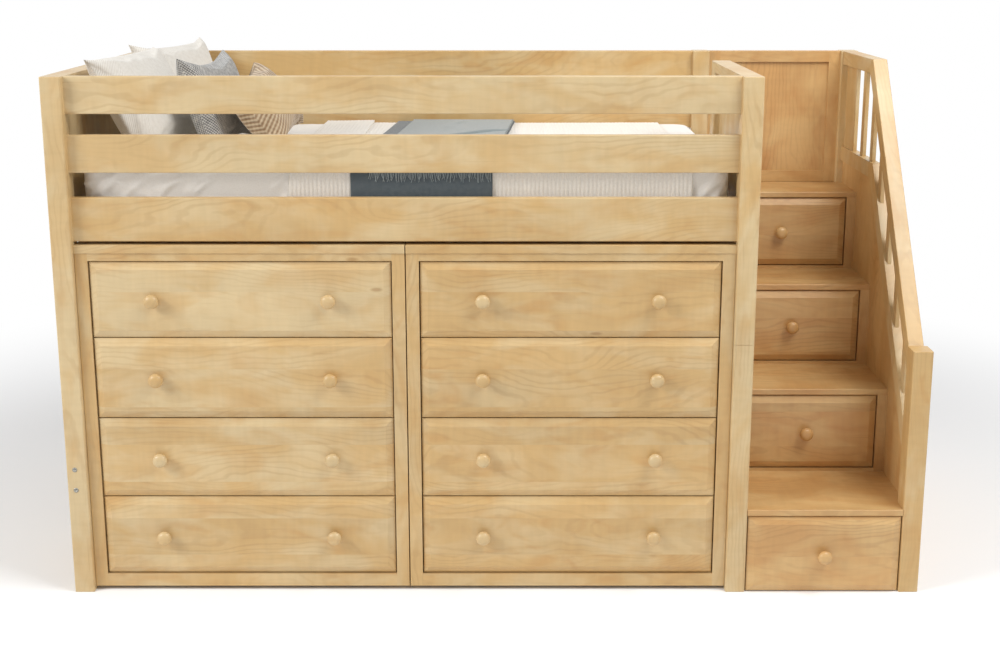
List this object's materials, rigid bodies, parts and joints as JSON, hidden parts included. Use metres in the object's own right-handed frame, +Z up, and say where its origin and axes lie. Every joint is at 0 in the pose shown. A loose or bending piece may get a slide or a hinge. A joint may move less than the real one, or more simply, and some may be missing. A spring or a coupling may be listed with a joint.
{
  "type": "loft bed with storage",
  "caption": "Mid-height wooden loft bed with two dressers under it and a drawer staircase with a handrail at its right end.",
  "frame": {"origin": "middle of the footprint's box, knobs included, on the floor", "axes": "+Z up; the drawers open towards -Y; +X runs from the closed end to the staircase"},
  "size_m": [2.58, 1.144, 1.6269],
  "materials": {
    "maple": "clear satin lacquer on sanded maple",
    "birch_plywood": "sanded birch plywood with a thin sealer",
    "white_cotton_sheet": "plain woven cotton",
    "white_cotton_quilt": "ribbed quilted cotton",
    "slate_wool": "twill wool with a fringe",
    "cream_linen": "linen with fine diagonal stripes",
    "charcoal_weave": "coarse two-tone weave",
    "tan_weave": "coarse basket weave"
  },
  "bodies": {
    "root": {"dresser_left_case": "maple", "dresser_right_case": "maple", "end_panel_left": "maple", "end_panel_right": "maple", "end_rail_left": "maple", "entry_post": "maple", "mattress": "white_cotton_sheet", "pillow_charcoal": "charcoal_weave", "pillow_cream_back": "cream_linen", "pillow_cream_front": "cream_linen", "pillow_tan": "tan_weave", "post_back_left": "maple", "post_back_right": "maple", "post_front_left": "maple", "post_front_right": "maple", "quilt": "white_cotton_quilt", "rail_back_middle": "maple", "rail_back_side": "maple", "rail_back_top": "maple", "rail_front_middle": "maple", "rail_front_side": "maple", "rail_front_top": "maple", "slat_deck": "birch_plywood", "stair_back_panel": "maple", "stair_back_post": "maple", "stair_cap_rail": "maple", "stair_guard_panel": "maple", "stair_handrail": "maple", "stair_newel": "maple", "stair_side_left": "maple", "stair_side_right": "maple", "stair_step_1": "maple", "stair_step_2": "maple", "stair_step_3": "maple", "stair_step_4": "maple", "throw": "slate_wool"},
    "dresser_left_drawer_1": {"dresser_left_drawer_1_front": "maple", "dresser_left_drawer_1_box": "birch_plywood"},
    "dresser_left_drawer_2": {"dresser_left_drawer_2_front": "maple", "dresser_left_drawer_2_box": "birch_plywood"},
    "dresser_left_drawer_3": {"dresser_left_drawer_3_front": "maple", "dresser_left_drawer_3_box": "birch_plywood"},
    "dresser_left_drawer_4": {"dresser_left_drawer_4_front": "maple", "dresser_left_drawer_4_box": "birch_plywood"},
    "dresser_right_drawer_1": {"dresser_right_drawer_1_front": "maple", "dresser_right_drawer_1_box": "birch_plywood"},
    "dresser_right_drawer_2": {"dresser_right_drawer_2_front": "maple", "dresser_right_drawer_2_box": "birch_plywood"},
    "dresser_right_drawer_3": {"dresser_right_drawer_3_front": "maple", "dresser_right_drawer_3_box": "birch_plywood"},
    "dresser_right_drawer_4": {"dresser_right_drawer_4_front": "maple", "dresser_right_drawer_4_box": "birch_plywood"},
    "stair_drawer_1": {"stair_drawer_1_front": "maple", "stair_drawer_1_box": "birch_plywood"},
    "stair_drawer_2": {"stair_drawer_2_front": "maple", "stair_drawer_2_box": "birch_plywood"},
    "stair_drawer_3": {"stair_drawer_3_front": "maple", "stair_drawer_3_box": "birch_plywood"},
    "stair_drawer_4": {"stair_drawer_4_front": "maple", "stair_drawer_4_box": "birch_plywood"}
  },
  "joints": [
    {"name": "dresser_left_drawer_1_slide", "type": "slide", "parent": "root", "child": "dresser_left_drawer_1", "axis": [0, -1, 0], "range_m": [0, 0.33]},
    {"name": "dresser_left_drawer_2_slide", "type": "slide", "parent": "root", "child": "dresser_left_drawer_2", "axis": [0, -1, 0], "range_m": [0, 0.33]},
    {"name": "dresser_left_drawer_3_slide", "type": "slide", "parent": "root", "child": "dresser_left_drawer_3", "axis": [0, -1, 0], "range_m": [0, 0.33]},
    {"name": "dresser_left_drawer_4_slide", "type": "slide", "parent": "root", "child": "dresser_left_drawer_4", "axis": [0, -1, 0], "range_m": [0, 0.33]},
    {"name": "dresser_right_drawer_1_slide", "type": "slide", "parent": "root", "child": "dresser_right_drawer_1", "axis": [0, -1, 0], "range_m": [0, 0.33]},
    {"name": "dresser_right_drawer_2_slide", "type": "slide", "parent": "root", "child": "dresser_right_drawer_2", "axis": [0, -1, 0], "range_m": [0, 0.33]},
    {"name": "dresser_right_drawer_3_slide", "type": "slide", "parent": "root", "child": "dresser_right_drawer_3", "axis": [0, -1, 0], "range_m": [0, 0.33]},
    {"name": "dresser_right_drawer_4_slide", "type": "slide", "parent": "root", "child": "dresser_right_drawer_4", "axis": [0, -1, 0], "range_m": [0, 0.33]},
    {"name": "stair_drawer_1_slide", "type": "slide", "parent": "root", "child": "stair_drawer_1", "axis": [0, -1, 0], "range_m": [0, 0.36]},
    {"name": "stair_drawer_2_slide", "type": "slide", "parent": "root", "child": "stair_drawer_2", "axis": [0, -1, 0], "range_m": [0, 0.34]},
    {"name": "stair_drawer_3_slide", "type": "slide", "parent": "root", "child": "stair_drawer_3", "axis": [0, -1, 0], "range_m": [0, 0.3]},
    {"name": "stair_drawer_4_slide", "type": "slide", "parent": "root", "child": "stair_drawer_4", "axis": [0, -1, 0], "range_m": [0, 0.12]}
  ]
}
